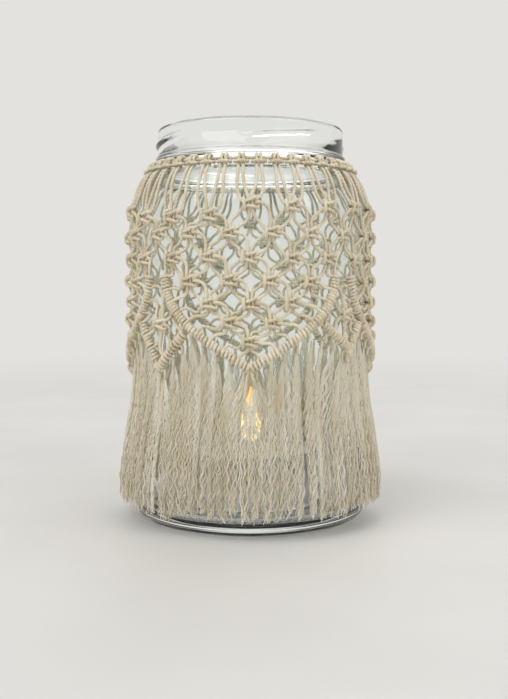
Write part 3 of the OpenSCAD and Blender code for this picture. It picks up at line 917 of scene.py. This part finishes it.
# Drawn aluminium foil: bright, slightly brushed round the cup by the drawing die
foil_material, tree = new_material("drawn_aluminium_foil")
coords = add_node(tree, "ShaderNodeTexCoord")
stretch = add_node(tree, "ShaderNodeMapping", {"Scale": (1, 1, 30)}, {"Vector": (coords, "Object")})
brush = add_node(tree, "ShaderNodeTexNoise", {"Scale": 1 / (9 * MM), "Detail": 3.0},
                 {"Vector": (stretch, "Vector")})
brush_bump = add_node(tree, "ShaderNodeBump", {"Strength": 0.15, "Distance": 0.05 * MM},
                      {"Height": (brush, "Fac")})
surface = add_node(tree, "ShaderNodeBsdfPrincipled",
                   {"Base Color": colour("#D6D7D9"), "Metallic": 1.0, "Roughness": 0.3},
                   {"Normal": (brush_bump, "Normal")})
add_node(tree, "ShaderNodeOutputMaterial", None, {"Surface": (surface, "BSDF")})
cup.data.materials.append(foil_material)
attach(cup, "candle")
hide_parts("candle_cup")

# Wax, with the pool melted round the wick and a low bank of unmelted wax at the cup's wall
wax_foot = wax_low.z / MM
wax_top = wax_high.z / MM
wax_r = wax_high.x / MM
pool_r = 19.0
pool_z = wax_top - 1.2
bank_wave = 0.12
wax = spin_profile("paraffin_wax",
                   [(0, wax_foot), (wax_r - 1, wax_foot), (wax_r, wax_foot + 1),
                    (wax_r, wax_top - 0.3), (wax_r - 0.3, wax_top), (pool_r + 4, wax_top - 0.15),
                    (pool_r + 1, wax_top - 0.5), (pool_r, pool_z + 0.1), (pool_r - 1, pool_z),
                    (6, pool_z), (1.6, pool_z + 0.05), (0, pool_z + 0.1)], 96)
for v in wax.data.vertices:
    if v.co.z / MM > pool_z - 0.1 and math.hypot(v.co.x, v.co.y) / MM > pool_r - 0.5:
        v.co.z += bank_wave * MM * noise.noise(v.co / (8 * MM))

# Poured paraffin: creamy and smooth, with light that goes in and comes out soft
wax_material, tree = new_material("poured_paraffin_wax")
coords = add_node(tree, "ShaderNodeTexCoord")
bloom = add_node(tree, "ShaderNodeTexNoise", {"Scale": 1 / (6 * MM), "Detail": 4.0},
                 {"Vector": (coords, "Object")})
shades = add_node(tree, "ShaderNodeValToRGB", None, {"Fac": (bloom, "Fac")})
stops(shades, (0.35, colour("#EFE7D2")), (0.65, colour("#F6F0E0")))
surface = add_node(tree, "ShaderNodeBsdfPrincipled",
                   {"Roughness": 0.3, "IOR": 1.44, "Subsurface Weight": 0.6, "Subsurface Scale": 4 * MM},
                   {"Base Color": (shades, "Color")})
add_node(tree, "ShaderNodeOutputMaterial", None, {"Surface": (surface, "BSDF")})
wax.data.materials.append(wax_material)
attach(wax, "candle")
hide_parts("candle_wax")

# Wick: braided cotton, burnt black above the wax and bent over at its glowing end
wick_top = wick_high.z / MM
wick_d = wick_high.x * 2 / MM
wick_step = 0.4
wick_lay = 3.0
wick_way = [Vector((0, 0, wick_low.z / MM)), Vector((0, 0, wax_top)), Vector((0.1, 0, wax_top + 3)),
            Vector((0.6, -0.2, wax_top + 6)), Vector((1.7, -0.5, wick_top - 1.2))]
wick = tubes("braided_wick", [smooth_way(wick_way, wick_step)], three_plies(wick_d), wick_lay)
wick_material, tree = new_material("charred_cotton_wick")
coords = add_node(tree, "ShaderNodeTexCoord")
height = add_node(tree, "ShaderNodeSeparateXYZ", None, {"Vector": (coords, "Object")})
burnt = add_node(tree, "ShaderNodeMapRange",
                 {"From Min": (wax_top + 0.5) * MM, "From Max": (wax_top + 3) * MM},
                 {"Value": (height, "Z")})
shades = add_node(tree, "ShaderNodeValToRGB", None, {"Fac": (burnt, "Result")})
stops(shades, (0.0, colour("#D9CDB4")), (1.0, colour("#1B1714")))
surface = add_node(tree, "ShaderNodeBsdfPrincipled", {"Roughness": 0.95},
                   {"Base Color": (shades, "Color")})
add_node(tree, "ShaderNodeOutputMaterial", None, {"Surface": (surface, "BSDF")})
wick.data.materials.append(wick_material)
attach(wick, "candle")
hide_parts("candle_wick")

# Wick holder, as the solids have it, and hidden in the wax apart from its tube. Tinned sheet
# steel: dull and grey, with patches where the tin is smoother
steel_material, tree = new_material("tinned_sheet_steel")
coords = add_node(tree, "ShaderNodeTexCoord")
spangle = add_node(tree, "ShaderNodeTexNoise", {"Scale": 1 / (2 * MM)}, {"Vector": (coords, "Object")})
dull = add_node(tree, "ShaderNodeMapRange", {"To Min": 0.3, "To Max": 0.5},
                {"Value": (spangle, "Fac")})
surface = add_node(tree, "ShaderNodeBsdfPrincipled",
                   {"Base Color": colour("#BFC0C3"), "Metallic": 1.0},
                   {"Roughness": (dull, "Result")})
add_node(tree, "ShaderNodeOutputMaterial", None, {"Surface": (surface, "BSDF")})
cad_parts["wick_holder"].data.materials.clear()
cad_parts["wick_holder"].data.materials.append(steel_material)

# Flame: a teardrop of glowing gas that stands on the wick
flame_foot = wax_top + 3.5
flame_height = 25.0
flame_r = 5.0
shape = [(0, 0)] + [(math.sin(math.pi * s ** 0.62) ** 0.9 * (1 - 0.35 * s), s) for s in
                    [i / 24 for i in range(1, 24)]] + [(0, 1)]
flame = spin_profile("candle_flame",
                     [(r * flame_r, flame_foot + z * flame_height) for r, z in shape], 32)
flame_material, tree = new_material("candle_flame_gas")
coords = add_node(tree, "ShaderNodeTexCoord")
height = add_node(tree, "ShaderNodeSeparateXYZ", None, {"Vector": (coords, "Object")})
up = add_node(tree, "ShaderNodeMapRange",
              {"From Min": flame_foot * MM, "From Max": (flame_foot + flame_height) * MM},
              {"Value": (height, "Z")})
shades = add_node(tree, "ShaderNodeValToRGB", None, {"Fac": (up, "Result")})
stops(shades, (0.05, colour("#FFE3A6")), (0.95, colour("#FFA545")))
surface = add_node(tree, "ShaderNodeEmission", {"Strength": 1.9}, {"Color": (shades, "Color")})
add_node(tree, "ShaderNodeOutputMaterial", None, {"Surface": (surface, "Emission")})
flame.data.materials.append(flame_material)
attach(flame, "candle")
